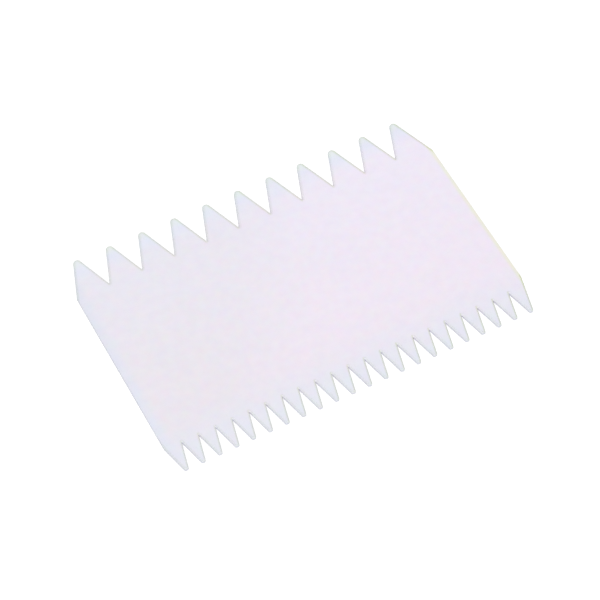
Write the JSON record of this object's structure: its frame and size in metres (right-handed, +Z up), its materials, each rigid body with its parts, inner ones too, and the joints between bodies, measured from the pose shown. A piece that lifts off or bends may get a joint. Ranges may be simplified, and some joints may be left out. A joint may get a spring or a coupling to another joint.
{
  "type": "cake comb",
  "caption": "Thin flat plastic comb with coarse pointed teeth along one long edge and fine ones along the other, drawn over icing to leave ridges.",
  "frame": {"origin": "centre of the underside, on the surface that the comb lies on", "axes": "+X along the toothed edges, +Y from the fine teeth to the coarse teeth, +Z up through the thickness"},
  "size_m": [0.1108, 0.075, 0.001],
  "materials": {
    "pale_plastic": "satin"
  },
  "bodies": {
    "root": {"comb_plate": "pale_plastic"}
  },
  "joints": []
}
